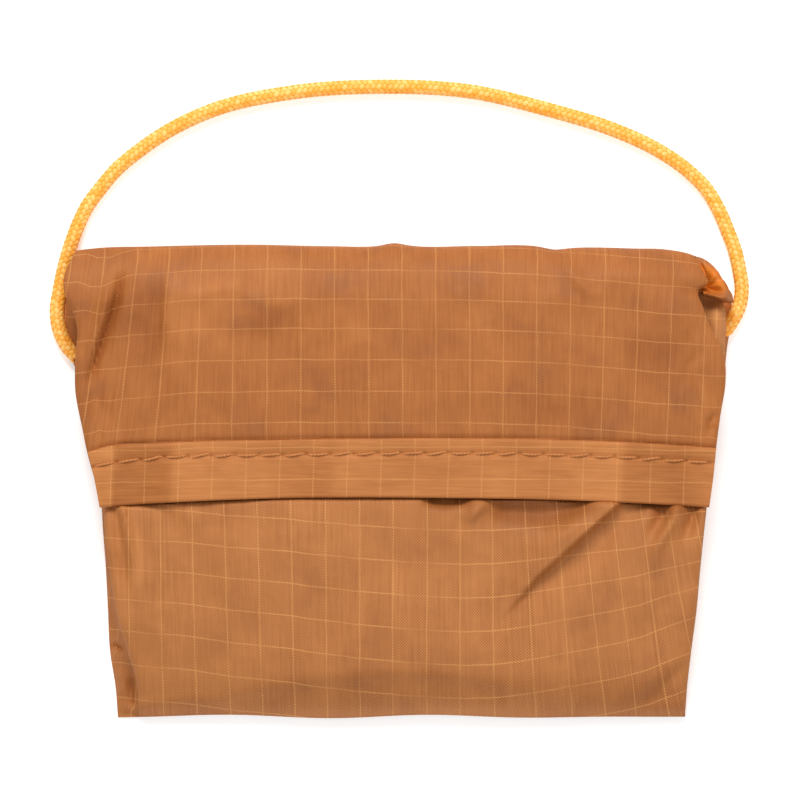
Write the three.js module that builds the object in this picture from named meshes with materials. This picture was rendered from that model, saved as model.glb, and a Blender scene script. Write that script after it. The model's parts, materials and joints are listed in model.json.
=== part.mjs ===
import * as THREE from 'three';

// A fold-over storage pouch of ripstop cloth, closed and lying on its back.
// Its neck is folded forward over the front, and a carrying cord lies beyond the fold.
// Millimetres: +X to the right, +Y towards the top fold, +Z out of the front.

// Driving dimensions
const baseY = -47; // sewn base edge
const mouthY = -4.6; // edge of the mouth, folded down over the front
const foldY = 40; // centre line of the top fold
const foldZ = 7; // height of that centre line, about which the flap turns
const outerFoldRadius = 7; // outside of the back layer round the fold
const innerFoldRadius = 3; // outside of the front layer round the fold
const foldHalfWidth = 61.8;
const baseHalfWidth = 56.7;
const widestY = 30;
const sideSlope = 0.09; // how far each side spreads per millimetre from the base
const topTaper = 0.12; // how far each side draws in above the widest place
const cloth = 0.6; // thickness that stands for a layer of cloth with its crinkle
const gap = 0.35; // clearance between neighbouring layers
const flapRise = 2.6; // lift of the flap's middle from the fold to the mouth
const flapDroop = 0.8; // how much lower its side edges hang at the mouth
const mouthGap = 1.3; // between the neck's two layers at the mouth
const hemWidth = 13;
const stitchInset = 3; // from the hem's inner edge to its row of stitches
const stitchPitch = 4.8;
const stitchMargin = 2.4; // from the side edges to the ends of a row
const stitchRise = 0.12;
const threadRadius = 0.3;
const gussetPleat = 0.35; // depth of the gusset's inward crease, as a share of its height
const gussetFromY = -40;
const gussetToY = 38;
const seamAllowance = 5; // width of the turned edges inside each seam
const seamInset = 2;
const neckPleat = 8.5; // depth of the neck gusset folded flat
const cordRadius = 1.5;
const cordSteps = 60;
const cordEndInset = 3.4; // clear of the gusset's crease
const cordEndLength = 8;
const tackLength = 6;
const tackWidth = 2.4;

// The front panel's outer face: [y, height at the middle, height at the sides]
const frontStations = [
  [baseY, 1.55, 1.55],
  [-43, 4.8, 4.0],
  [-36, 8.2, 6.6],
  [-24, 10.2, 8.2],
  [-10, 9.9, 8.6],
  [0, 9.3, 8.5],
  [12, 9.0, 8.4],
  [28, 8.6, 8.1],
  [35, 7.4, 7.2],
  [foldY - gap, 4.6, 4.6],
];

// Centre line of the carrying cord, from its left exit round to its right exit: [x, y]
const cordRoute = [
  [-65.1, 25.1],
  [-66.6, 26.7],
  [-68.3, 29.9],
  [-69.0, 34.4],
  [-68.4, 38.4],
  [-67.6, 42.4],
  [-66.5, 46.4],
  [-65.1, 50.4],
  [-63.3, 54.4],
  [-60.5, 58.4],
  [-57.1, 62.4],
  [-52.3, 66.4],
  [-46.3, 70.4],
  [-37.6, 74.4],
  [-22.4, 77.8],
  [-4.4, 79.0],
  [14.0, 78.0],
  [29.3, 74.4],
  [42.3, 70.4],
  [51.0, 66.4],
  [56.9, 62.4],
  [60.9, 58.4],
  [63.3, 54.4],
  [65.0, 50.4],
  [66.5, 46.4],
  [67.4, 42.4],
  [68.0, 38.4],
  [67.5, 34.4],
  [66.3, 31.2],
  [65.4, 29.2],
];

// Half of the pouch's width, measured across at y
function halfWidth(y) {
  const spread = sideSlope * (Math.min(y, widestY) - baseY);
  return baseHalfWidth + spread - topTaper * Math.max(0, y - widestY);
}

// Height of the front panel's outer face; across is 0 at the middle and 1 at a side
function frontTop(y, across) {
  let k = 1;
  while (k < frontStations.length - 1 && y > frontStations[k][0]) k += 1;
  const [y0, middle0, side0] = frontStations[k - 1];
  const [y1, middle1, side1] = frontStations[k];
  const share = (y - y0) / (y1 - y0);
  const middle = THREE.MathUtils.lerp(middle0, middle1, share);
  const side = THREE.MathUtils.lerp(side0, side1, share);
  return THREE.MathUtils.lerp(middle, side, across * across);
}

// How far y is along the flap, from 0 at the fold to 1 at the mouth
function flapShare(y) {
  return (foldY - y) / (foldY - mouthY);
}

// Underside of the flap's inner layer
function innerLow(y, across) {
  const start = foldZ + innerFoldRadius - cloth;
  return start + flapShare(y) * (flapRise - flapDroop * across * across);
}

// Underside of the flap's outer layer
function outerLow(y, across) {
  const spaceAtFold = outerFoldRadius - innerFoldRadius;
  const spaceAtMouth = cloth + mouthGap;
  const space = THREE.MathUtils.lerp(spaceAtFold, spaceAtMouth, flapShare(y));
  return innerLow(y, across) + space;
}

// A closed slab between two surfaces. place(u, v) gives its low and its high point,
// with u and v from 0 to 1, and u across v must point from low to high.
function slab(columns, rows, place) {
  const points = [];
  for (let j = 0; j <= rows; j += 1) {
    for (let i = 0; i <= columns; i += 1) {
      const { low, high } = place(i / columns, j / rows);
      points.push(low, high);
    }
  }
  const at = (i, j, side) => 2 * (j * (columns + 1) + i) + side;
  const faces = [];
  const quad = (a, b, c, d) => faces.push(a, b, c, a, c, d);
  for (let j = 0; j < rows; j += 1) {
    for (let i = 0; i < columns; i += 1) {
      quad(at(i, j, 1), at(i + 1, j, 1), at(i + 1, j + 1, 1), at(i, j + 1, 1));
      quad(at(i, j, 0), at(i, j + 1, 0), at(i + 1, j + 1, 0), at(i + 1, j, 0));
    }
  }
  for (let i = 0; i < columns; i += 1) {
    quad(at(i, 0, 0), at(i + 1, 0, 0), at(i + 1, 0, 1), at(i, 0, 1));
    quad(at(i + 1, rows, 0), at(i, rows, 0), at(i, rows, 1), at(i + 1, rows, 1));
  }
  for (let j = 0; j < rows; j += 1) {
    quad(at(0, j + 1, 0), at(0, j, 0), at(0, j, 1), at(0, j + 1, 1));
    quad(at(columns, j, 0), at(columns, j + 1, 0), at(columns, j + 1, 1), at(columns, j, 1));
  }
  const geometry = new THREE.BufferGeometry();
  const positions = points.flatMap((p) => [p.x, p.y, p.z]);
  geometry.setAttribute('position', new THREE.Float32BufferAttribute(positions, 3));
  geometry.setIndex(faces);
  geometry.computeVertexNormals();
  return geometry;
}

// A layer of cloth across the whole width, over the stated stretch of y
function layer(columns, rowYs, lowAt, thickness = cloth) {
  const rows = rowYs.length - 1;
  return slab(columns, rows, (u, v) => {
    const y = rowYs[Math.round(v * rows)];
    const across = 2 * u - 1;
    const x = across * halfWidth(y);
    const low = lowAt(y, across);
    return {
      low: new THREE.Vector3(x, y, low),
      high: new THREE.Vector3(x, y, low + thickness),
    };
  });
}

// A strip of cloth along the right side, between two distances in from the side edge
function sideStrip(fromInset, toInset, fromY, toY, rows, lowAt) {
  return slab(2, rows, (u, v) => {
    const y = THREE.MathUtils.lerp(fromY, toY, v);
    const x = halfWidth(y) - THREE.MathUtils.lerp(toInset, fromInset, u);
    const low = lowAt(y, x / halfWidth(y));
    return {
      low: new THREE.Vector3(x, y, low),
      high: new THREE.Vector3(x, y, low + cloth),
    };
  });
}

// The same shape on the left side
function mirrored(geometry) {
  const copy = geometry.clone();
  copy.scale(-1, 1, 1);
  const index = copy.getIndex();
  for (let k = 0; k < index.count; k += 3) {
    const first = index.getX(k);
    index.setX(k, index.getX(k + 1));
    index.setX(k + 1, first);
  }
  copy.computeVertexNormals();
  return copy;
}

function evenly(from, to, count) {
  return Array.from({ length: count + 1 }, (_, k) => THREE.MathUtils.lerp(from, to, k / count));
}

// The right gusset: a wall from the back panel to the front panel with one inward crease
function gusset() {
  const low = cloth + gap;
  return slab(2, 10, (u, v) => {
    const y = THREE.MathUtils.lerp(gussetFromY, gussetToY, v);
    const high = frontTop(y, 1) - cloth - gap;
    const crease = gussetPleat * (high - low) * (1 - Math.abs(2 * u - 1));
    const outside = halfWidth(y) - crease;
    const z = THREE.MathUtils.lerp(high, low, u);
    return {
      low: new THREE.Vector3(outside - cloth, y, z),
      high: new THREE.Vector3(outside, y, z),
    };
  });
}

// Cloth bent half-way round the fold's centre line
function foldSleeve(radius) {
  return slab(2, 8, (u, v) => {
    const x = THREE.MathUtils.lerp(foldHalfWidth, -foldHalfWidth, u);
    const angle = THREE.MathUtils.lerp(-0.5, 0.5, v) * Math.PI;
    const at = (r) => new THREE.Vector3(x, foldY + r * Math.cos(angle), foldZ + r * Math.sin(angle));
    return { low: at(radius - cloth), high: at(radius) };
  });
}

// A round section swept along a curve, with closed ends
function sweep(points, radius, sides, steps) {
  const section = new THREE.Shape();
  for (let k = 0; k < sides; k += 1) {
    const angle = (2 * Math.PI * k) / sides;
    const [x, y] = [radius * Math.cos(angle), radius * Math.sin(angle)];
    if (k === 0) section.moveTo(x, y);
    else section.lineTo(x, y);
  }
  section.closePath();
  const extrudePath = new THREE.CatmullRomCurve3(points, false, 'centripetal');
  return new THREE.ExtrudeGeometry(section, { steps, extrudePath, bevelEnabled: false });
}

// A row of stitches as one strand, lifted in the middle of each stitch
function stitchRow(heightAt) {
  const y = mouthY + hemWidth - stitchInset;
  const reach = halfWidth(y) - stitchMargin;
  const count = Math.floor((2 * reach) / stitchPitch);
  const points = evenly(-reach, reach, 2 * count).map((x, k) => {
    const lift = k % 2 === 1 ? stitchRise : 0;
    return new THREE.Vector3(x, y, heightAt(y, x / halfWidth(y), lift));
  });
  return sweep(points, threadRadius, 6, 2 * count);
}

// The end of the cord held inside a side seam
function cordEnd(side, y) {
  const z = 2 * (cloth + gap) + cordRadius;
  const outer = halfWidth(y) - cordEndInset;
  const points = [outer, outer - cordEndLength / 2, outer - cordEndLength];
  return sweep(points.map((x) => new THREE.Vector3(side * x, y, z)), cordRadius, 8, 2);
}

// The bar of thread sewn across that end
function cordTack(side, y) {
  const geometry = new THREE.BoxGeometry(tackWidth, tackLength, cloth);
  const z = 2 * (cloth + gap) + 2 * cordRadius + gap + cloth / 2;
  geometry.translate(side * (halfWidth(y) - cordEndInset - cordEndLength / 2), y, z);
  return geometry;
}

const pouch = new THREE.Group();

function add(name, geometry, colour, roughness) {
  const material = new THREE.MeshStandardMaterial({ color: colour, roughness, metalness: 0 });
  const mesh = new THREE.Mesh(geometry, material);
  mesh.name = name;
  pouch.add(mesh);
}

const clothColour = 0xbb7946;
const hemColour = 0xc47e4a;
const liningColour = 0xab5821;
const threadColour = 0xc98a63;
const cordColour = 0xfac169;
const clothRoughness = 0.55;
const threadRoughness = 0.7;

// Body of the pouch
const bodyYs = evenly(baseY, foldY - gap, 6);
add('back_panel', layer(2, bodyYs, () => 0), clothColour, clothRoughness);
const frontYs = frontStations.map(([y]) => y);
const frontLow = (y, across) => frontTop(y, across) - cloth;
add('front_panel', layer(12, frontYs, frontLow), clothColour, clothRoughness);
add('right_gusset', gusset(), clothColour, clothRoughness);
add('left_gusset', mirrored(gusset()), clothColour, clothRoughness);
add('outer_fold', foldSleeve(outerFoldRadius), clothColour, clothRoughness);
add('inner_fold', foldSleeve(innerFoldRadius), clothColour, clothRoughness);

// Turned edges inside its seams
const seamEnd = seamInset + seamAllowance;
const backSeam = sideStrip(seamInset, seamEnd, gussetFromY, gussetToY - 3, 2, () => cloth + gap);
const underFront = (y, across) => frontLow(y, across) - gap - cloth;
const frontSeam = sideStrip(seamInset, seamEnd, gussetFromY + 4, gussetToY - 6, 10, underFront);
add('right_back_seam', backSeam, liningColour, clothRoughness);
add('left_back_seam', mirrored(backSeam), liningColour, clothRoughness);
add('right_front_seam', frontSeam, liningColour, clothRoughness);
add('left_front_seam', mirrored(frontSeam), liningColour, clothRoughness);
const baseSeam = new THREE.BoxGeometry(2 * (baseHalfWidth - seamEnd), seamAllowance - 1.5, cloth);
baseSeam.translate(0, baseY + seamInset + (seamAllowance - 1.5) / 2, 1.5 * cloth + gap);
add('base_seam', baseSeam, liningColour, clothRoughness);

// Neck of the pouch, folded forward as its flap
const neckYs = evenly(mouthY, foldY - gap, 6);
const hemYs = [mouthY, mouthY + hemWidth];
add('flap_outer', layer(10, neckYs, outerLow), clothColour, clothRoughness);
add('flap_inner', layer(10, neckYs, innerLow), clothColour, clothRoughness);
const pleatLow = (y, across) => innerLow(y, across) + cloth + gap;
const neckGusset = sideStrip(0.4, neckPleat, mouthY + 0.4, foldY - 1, 6, pleatLow);
add('right_neck_gusset', neckGusset, liningColour, clothRoughness);
add('left_neck_gusset', mirrored(neckGusset), liningColour, clothRoughness);
const outerHemLow = (y, across) => outerLow(y, across) + cloth + gap;
const innerHemLow = (y, across) => innerLow(y, across) - gap - cloth;
add('outer_hem', layer(10, hemYs, outerHemLow), hemColour, clothRoughness);
add('inner_hem', layer(10, hemYs, innerHemLow), hemColour, clothRoughness);
const threadStandoff = gap + threadRadius;
const outerRow = stitchRow((y, across, lift) => outerHemLow(y, across) + cloth + threadStandoff + lift);
const innerRow = stitchRow((y, across, lift) => innerHemLow(y, across) - threadStandoff - lift);
add('outer_hem_thread', outerRow, threadColour, threadRoughness);
add('inner_hem_thread', innerRow, threadColour, threadRoughness);

// Carrying cord, and its two ends sewn into the side seams
const cordLine = cordRoute.map(([x, y]) => new THREE.Vector3(x, y, cordRadius));
add('carry_cord', sweep(cordLine, cordRadius, 8, cordSteps), cordColour, threadRoughness);
const [, leftExitY] = cordRoute[0];
const [, rightExitY] = cordRoute[cordRoute.length - 1];
for (const [name, side, y] of [['left', -1, leftExitY], ['right', 1, rightExitY]]) {
  add(`${name}_cord_end`, cordEnd(side, y), cordColour, threadRoughness);
  add(`${name}_cord_tack`, cordTack(side, y), threadColour, threadRoughness);
}

export default pouch;
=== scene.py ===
import json
import math
import bpy
import numpy as np
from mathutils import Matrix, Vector


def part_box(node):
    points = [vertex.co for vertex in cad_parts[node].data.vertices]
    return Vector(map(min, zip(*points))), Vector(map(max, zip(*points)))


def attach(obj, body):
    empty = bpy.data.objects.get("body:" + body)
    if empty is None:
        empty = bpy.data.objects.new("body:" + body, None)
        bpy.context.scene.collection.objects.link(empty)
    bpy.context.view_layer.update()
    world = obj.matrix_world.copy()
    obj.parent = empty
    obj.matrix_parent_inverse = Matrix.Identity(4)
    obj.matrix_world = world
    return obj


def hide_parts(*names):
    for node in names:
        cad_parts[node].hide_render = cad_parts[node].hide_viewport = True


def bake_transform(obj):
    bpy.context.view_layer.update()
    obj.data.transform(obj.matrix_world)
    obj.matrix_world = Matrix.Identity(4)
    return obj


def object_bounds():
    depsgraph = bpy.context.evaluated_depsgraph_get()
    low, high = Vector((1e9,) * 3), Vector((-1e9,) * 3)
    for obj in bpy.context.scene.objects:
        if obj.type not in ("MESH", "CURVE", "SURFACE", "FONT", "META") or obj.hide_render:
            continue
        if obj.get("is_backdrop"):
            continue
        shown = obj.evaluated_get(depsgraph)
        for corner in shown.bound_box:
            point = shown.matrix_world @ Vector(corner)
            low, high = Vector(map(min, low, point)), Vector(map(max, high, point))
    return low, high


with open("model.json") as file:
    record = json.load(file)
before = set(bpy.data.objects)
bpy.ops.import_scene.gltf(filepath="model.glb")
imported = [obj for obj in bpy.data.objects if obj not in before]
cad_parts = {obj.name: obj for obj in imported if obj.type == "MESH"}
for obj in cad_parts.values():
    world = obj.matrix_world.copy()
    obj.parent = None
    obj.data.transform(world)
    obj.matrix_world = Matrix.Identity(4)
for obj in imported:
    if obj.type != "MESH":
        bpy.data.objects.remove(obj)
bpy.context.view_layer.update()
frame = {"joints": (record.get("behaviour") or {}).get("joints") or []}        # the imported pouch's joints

mm = 0.001               # shapes below are worked out in millimetres and written in metres
uvScale = 100.0          # millimetres of cloth to one unit of its UV map
joints = {j["name"]: j for j in frame["joints"]}
foldY = joints["flap_fold"]["pos_m"][1] / mm
foldZ = joints["flap_fold"]["pos_m"][2] / mm
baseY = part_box("back_panel")[0].y / mm
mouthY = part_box("flap_outer")[0].y / mm


# ---- small helpers
def deselectAll():
    for thing in bpy.context.selected_objects:
        thing.select_set(False)


def curve(points, at):                       # a smooth line through given points [where, value]
    xs = np.array([p[0] for p in points], float)
    ys = np.array([p[1] for p in points], float)
    slope = np.gradient(ys, xs)
    at = np.clip(np.asarray(at, float), xs[0], xs[-1])
    k = np.clip(np.searchsorted(xs, at) - 1, 0, len(xs) - 2)
    span = xs[k + 1] - xs[k]
    t = (at - xs[k]) / span
    a = ys[k] * (1 + 2 * t) * (1 - t) ** 2 + slope[k] * span * t * (1 - t) ** 2
    b = ys[k + 1] * t * t * (3 - 2 * t) + slope[k + 1] * span * t * t * (t - 1)
    return a + b


def waves(x, y, seed, size, stretch=1.0, count=14):   # smooth random ripple of about that size
    rng = np.random.default_rng(seed)
    total = np.zeros_like(x)
    for _ in range(count):
        angle = rng.uniform(0, 2 * math.pi)
        phase = rng.uniform(0, 2 * math.pi)
        pace = 2 * math.pi / (size * rng.uniform(0.7, 1.6))
        total += np.cos((x * math.cos(angle) + y * math.sin(angle) / stretch) * pace + phase)
    return total / math.sqrt(count)


def crinkle(x, y, seed, size):               # flat facets that meet in creases
    return 0.55 - np.abs(waves(x, y, seed, size))


def smooth(t):
    t = np.clip(t, 0, 1)
    return t * t * (3 - 2 * t)


# One crease along a drawn line: a ridge or valley by its rise, and a step that lifts the cloth on the
# line's right and eases off over its reach. It fades out at both ends, or only at the last if it opens.
# In a tones list the same marks set painted light and shade in the colour instead of height.
def crease(path, width, rise=0.0, step=0.0, reach=8.0, power=2, taper=0.4, opens=False):
    return {"path": path, "width": width, "rise": rise, "step": step, "reach": reach, "power": power,
            "taper": taper, "opens": opens}


def folds(x, y, creases):                    # what all the creases add at each point
    steepness = 1.6
    total = np.zeros_like(x)
    for mark in creases:
        path = np.array(mark["path"], float)
        nearest = np.full_like(x, np.inf)
        across = np.zeros_like(x)
        progress = np.zeros_like(x)
        for k in range(len(path) - 1):
            start, run = path[k], path[k + 1] - path[k]
            length = np.hypot(*run)
            t = np.clip(((x - start[0]) * run[0] + (y - start[1]) * run[1]) / length ** 2, 0, 1)
            dx, dy = x - start[0] - t * run[0], y - start[1] - t * run[1]
            away = np.hypot(dx, dy)
            closer = away < nearest
            nearest = np.where(closer, away, nearest)
            side = np.sign(dx * run[1] - dy * run[0])
            across = np.where(closer, side * away, across)
            progress = np.where(closer, (k + t) / (len(path) - 1), progress)
        left = 1 - progress if mark["opens"] else np.minimum(progress, 1 - progress)
        shape = smooth(left / mark["taper"])
        d = across / mark["width"]
        total += mark["rise"] * np.exp(-np.abs(d) ** mark["power"]) * shape
        if mark["step"]:
            ease = np.exp(-(across / mark["reach"]) ** 2)
            total += 0.5 * mark["step"] * np.tanh(steepness * d) * ease * shape
    return total


def relief(x, y, layers):                    # ripples and crinkles together: [kind, height, seed, size]
    return sum(height * kind(x, y, seed, size) for kind, height, seed, size in layers)


def readPoints(piece):
    flat = np.empty(len(piece.data.vertices) * 3)
    piece.data.vertices.foreach_get("co", flat)
    return flat.reshape(-1, 3)


def writePoints(piece, points):
    piece.data.vertices.foreach_set("co", np.ascontiguousarray(points, dtype=float).ravel())
    piece.data.update()


def selectOnly(piece):
    deselectAll()
    piece.select_set(True)
    bpy.context.view_layer.objects.active = piece


def thicken(piece, thickness):               # the cloth's second face, inwards
    selectOnly(piece)
    modifier = piece.modifiers.new("Solidify", "SOLIDIFY")
    modifier.thickness = thickness * mm
    modifier.offset = -1
    bpy.ops.object.modifier_apply(modifier=modifier.name)


def smoothShade(piece, degrees=40):
    selectOnly(piece)
    bpy.ops.object.shade_smooth_by_angle(angle=math.radians(degrees))


def perCorner(piece, values):                # one row for each vertex, spread over the faces' corners
    index = np.empty(len(piece.data.loops), int)
    piece.data.loops.foreach_get("vertex_index", index)
    return values[index].ravel()


# A sheet of cloth. place(u, v) gives its points in mm from two 2-D arrays that run 0 to 1 across and
# along, and clothAt(points) gives the same points in the flat cloth, in mm, for its weave.
def clothSheet(name, spec, material, place, clothAt, tones=None, glowAt=None):
    deselectAll()
    bpy.ops.mesh.primitive_grid_add(x_subdivisions=spec["columns"], y_subdivisions=spec["rows"], size=1)
    sheet = bpy.context.object
    sheet.name = sheet.data.name = name
    flat = readPoints(sheet)
    order = np.lexsort((flat[:, 0].round(6), flat[:, 1].round(6)))
    across = len(np.unique(flat[:, 0].round(6)))
    u = (flat[order, 0] + 0.5).reshape(-1, across)
    v = (flat[order, 1] + 0.5).reshape(-1, across)
    points = place(u, v)
    cloth = clothAt(points)
    placed = np.empty_like(flat)
    placed[order] = points.reshape(-1, 3) * mm
    writePoints(sheet, placed)
    perVertex = np.empty((len(flat), 2))
    perVertex[order] = cloth.reshape(-1, 2) / uvScale
    layer = sheet.data.uv_layers[0]
    layer.name = "cloth"
    layer.data.foreach_set("uv", perCorner(sheet, perVertex))
    # painted light and shade from the tones, and painted glow, kept on the points
    for label, value in (("paintedShading", tones and folds(points[:, :, 0], points[:, :, 1], tones)),
                         ("glow", glowAt and glowAt(points))):
        if value is not None:
            perPoint = np.empty(len(flat), np.float32)
            perPoint[order] = value.ravel()
            sheet.data.attributes.new(label, "FLOAT", "POINT").data.foreach_set("value", perPoint)
    thicken(sheet, spec["thickness"])
    smoothShade(sheet)
    sheet.data.materials.append(material)
    return sheet


def alongRows(points):                       # distance run across each row, from its middle
    step = np.linalg.norm(np.diff(points, axis=1), axis=2)
    run = np.concatenate([np.zeros((len(points), 1)), np.cumsum(step, axis=1)], axis=1)
    return run - run[:, [points.shape[1] // 2]]


def alongColumns(points):                    # distance run along each column, from its first row
    step = np.linalg.norm(np.diff(points, axis=0), axis=2)
    return np.concatenate([np.zeros((1, points.shape[1])), np.cumsum(step, axis=0)], axis=0)


# ---- camera, looking straight down on the pouch
view = {"centre": (-0.0004, 0.0164), "distance": 2.0, "width": 0.16, "sensor": 36}
bpy.ops.object.camera_add(location=(*view["centre"], view["distance"]), rotation=(0, 0, 0))
camera = bpy.context.object
camera.name = "camera"
camera.data.sensor_width = view["sensor"]
camera.data.lens = view["sensor"] * view["distance"] / view["width"]
camera.data.clip_end = 20
bpy.context.scene.camera = camera
bpy.context.scene.view_settings.view_transform = "Standard"
print("camera made")


# ---- materials
def nodesOf(tree):
    def add(kind, inputs=None, **settings):
        node = tree.nodes.new(kind)
        for key, value in settings.items():
            setattr(node, key, value)
        for socket, value in (inputs or {}).items():
            if isinstance(value, bpy.types.NodeSocket):
                tree.links.new(value, node.inputs[socket])
            else:
                node.inputs[socket].default_value = value
        return node

    def calc(operation, first, second=0.0, third=0.0, clamp=False):
        inputs = {0: first, 1: second, 2: third}
        return add("ShaderNodeMath", inputs, operation=operation, use_clamp=clamp).outputs[0]

    return add, calc


def mixColours(add, factor, first, second):
    return add("ShaderNodeMix", {0: factor, 6: first, 7: second}, data_type="RGBA").outputs[2]


def newGroup(name, inputs, outputs):
    tree = bpy.data.node_groups.new(name, "ShaderNodeTree")
    for label, kind, value in inputs:
        socket = tree.interface.new_socket(label, in_out="INPUT", socket_type=kind)
        if value is not None:
            socket.default_value = value
    for label, kind in outputs:
        tree.interface.new_socket(label, in_out="OUTPUT", socket_type=kind)
    return tree


# Ripstop weave: thick reinforcing yarns in a grid over a fine plain weave with uneven yarns
def makeRipstopGroup():
    number, vector = "NodeSocketFloat", "NodeSocketVector"
    tree = newGroup(
        "ripstopWeave",
        [("Cloth", vector, None), ("GridPitch", number, 6.7), ("LineWidth", number, 0.17),
         ("YarnPitch", number, 0.56), ("StreakTurn", number, 0.0)],
        [(label, number) for label in ("Line", "Weave", "Streak", "Mottle", "Shimmer")],
    )
    add, calc = nodesOf(tree)
    start = add("NodeGroupInput").outputs
    parts = add("ShaderNodeSeparateXYZ", {0: start["Cloth"]}).outputs
    across = calc("MULTIPLY", parts[0], uvScale)
    along = calc("MULTIPLY", parts[1], uvScale)

    def lineNoise(place, detail):
        settings = {"W": place, "Scale": 1.0, "Detail": detail}
        return add("ShaderNodeTexNoise", settings, noise_dimensions="1D")

    def stretched(acrossPace, alongPace):    # the place in the cloth, drawn out so that noise streaks
        return add("ShaderNodeCombineXYZ", {0: calc("MULTIPLY", across, acrossPace),
                                            1: calc("MULTIPLY", along, alongPace)}).outputs[0]

    def yarnWave(run, turn):
        return calc("SINE", calc("MULTIPLY", calc("DIVIDE", run, start["YarnPitch"]), turn))

    def gridLine(run, other, seed):
        wobble = lineNoise(calc("MULTIPLY_ADD", other, 0.11, seed), 2.0)
        moved = calc("MULTIPLY_ADD", wobble.outputs[0], 0.5, calc("SUBTRACT", run, 0.25))
        cell = calc("FRACT", calc("ADD", calc("DIVIDE", moved, start["GridPitch"]), 0.5))
        away = calc("MULTIPLY", calc("ABSOLUTE", calc("SUBTRACT", cell, 0.5)), start["GridPitch"])
        fade = calc("DIVIDE", away, start["LineWidth"])
        line = calc("SUBTRACT", 1.0, calc("MULTIPLY", fade, fade), clamp=True)
        beat = yarnWave(other, math.pi)
        dots = calc("MULTIPLY_ADD", calc("MULTIPLY", beat, beat), 0.75, 0.25)
        strength = lineNoise(calc("MULTIPLY_ADD", other, 0.07, seed + 7), 3.0)
        shown = calc("MULTIPLY_ADD", strength.outputs[0], 2.6, -0.65, clamp=True)
        return calc("MULTIPLY", calc("MULTIPLY", line, dots), calc("MULTIPLY_ADD", shown, 0.75, 0.25))

    lines = calc("MAXIMUM", gridLine(across, along, 3.0), gridLine(along, across, 19.0))
    crossing = calc("MULTIPLY", yarnWave(across, 2 * math.pi), yarnWave(along, 2 * math.pi))
    weave = calc("MULTIPLY_ADD", crossing, 0.5, 0.5)
    turned = add("ShaderNodeMix", {0: start["StreakTurn"], 4: stretched(2.1, 0.09),
                                   5: stretched(0.09, 2.1)}, data_type="VECTOR")
    streak = add("ShaderNodeTexNoise", {"Vector": turned.outputs[1], "Scale": 1.0, "Detail": 2.0,
                                        "Roughness": 0.6})
    flat = add("ShaderNodeCombineXYZ", {0: across, 1: along}).outputs[0]
    mottle = add("ShaderNodeTexNoise", {"Vector": flat, "Scale": 0.085, "Detail": 3.0,
                                        "Roughness": 0.55})
    slow = add("ShaderNodeTexNoise", {"Vector": flat, "Scale": 0.05, "Detail": 1.0})
    rib = add("ShaderNodeTexNoise", {"Vector": stretched(1.9, 0.06), "Scale": 1.0, "Detail": 1.0})
    patch = calc("MULTIPLY_ADD", slow.outputs[0], 4.0, -1.5, clamp=True)
    shimmer = calc("MULTIPLY", calc("SUBTRACT", rib.outputs[0], 0.5), patch)
    end = add("NodeGroupOutput")
    for label, socket in (("Line", lines), ("Weave", weave), ("Streak", streak.outputs[0]),
                          ("Mottle", mottle.outputs[0]), ("Shimmer", shimmer)):
        tree.links.new(socket, end.inputs[label])
    return tree


ripstopGroup = makeRipstopGroup()


def srgb(r, g, b):
    def lin(c):
        c /= 255
        return c / 12.92 if c <= 0.04045 else ((c + 0.055) / 1.055) ** 2.4
    return (lin(r), lin(g), lin(b), 1.0)


def newMaterial(name):
    material = bpy.data.materials.new(name)
    material.use_nodes = True
    material.node_tree.nodes.clear()
    return material, material.node_tree


def attribute(add, name):                    # a value that the mesh carries at each point
    return add("ShaderNodeAttribute", attribute_name=name, attribute_type="GEOMETRY").outputs["Fac"]


def clothMaterial(name, look):
    material, tree = newMaterial(name)
    add, calc = nodesOf(tree)
    uv = add("ShaderNodeUVMap", uv_map="cloth")
    weave = add("ShaderNodeGroup", {}, node_tree=ripstopGroup)
    tree.links.new(uv.outputs[0], weave.inputs["Cloth"])
    for key, value in look.get("weave", {}).items():
        weave.inputs[key].default_value = value
    out = weave.outputs
    tone = calc("MULTIPLY_ADD", calc("SUBTRACT", out["Mottle"], 0.5), look["mottle"], 0.5)
    tone = calc("ADD", tone, calc("MULTIPLY", calc("SUBTRACT", out["Streak"], 0.5), look["streak"]))
    tone = calc("ADD", tone, calc("MULTIPLY", out["Shimmer"], look["shimmer"]))
    tone = calc("ADD", tone, attribute(add, "paintedShading"))       # painted light and shade: patches of the colour made lighter or darker
    yarn = calc("MULTIPLY", calc("SUBTRACT", out["Weave"], 0.5), look["yarn"])
    tone = calc("ADD", tone, yarn, clamp=True)
    colour = mixColours(add, tone, look["dark"], look["light"])
    haze = calc("MULTIPLY_ADD", out["Mottle"], -5.0, 2.3, clamp=True)
    colour = mixColours(add, calc("MULTIPLY", haze, look["haze"]), colour, look["hazeColour"])
    # painted glow: colour of light coming through the cloth, where the mesh carries a glow
    colour = mixColours(add, attribute(add, "glow"), colour, look["glowColour"])
    colour = mixColours(add, calc("MULTIPLY", out["Line"], look["line"]), colour, look["lineColour"])
    height = calc("ADD", calc("MULTIPLY", out["Weave"], 0.4), calc("MULTIPLY", out["Line"], 1.2))
    height = calc("ADD", height, calc("MULTIPLY", out["Streak"], 0.4))
    bump = add("ShaderNodeBump", {"Height": height, "Strength": look["bump"], "Distance": 0.0001})
    rough = calc("MULTIPLY_ADD", out["Mottle"], 0.16, look["roughness"])
    facing = add("ShaderNodeLayerWeight", {"Blend": 0.5}).outputs["Facing"]
    gloss = calc("MULTIPLY", calc("SUBTRACT", 1.0, facing, clamp=True), look["specular"])
    shader = add("ShaderNodeBsdfPrincipled", {
        "Base Color": colour, "Roughness": rough, "Normal": bump.outputs[0],
        "Specular IOR Level": gloss})
    tree.links.new(shader.outputs[0], add("ShaderNodeOutputMaterial").inputs[0])
    return material


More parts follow.
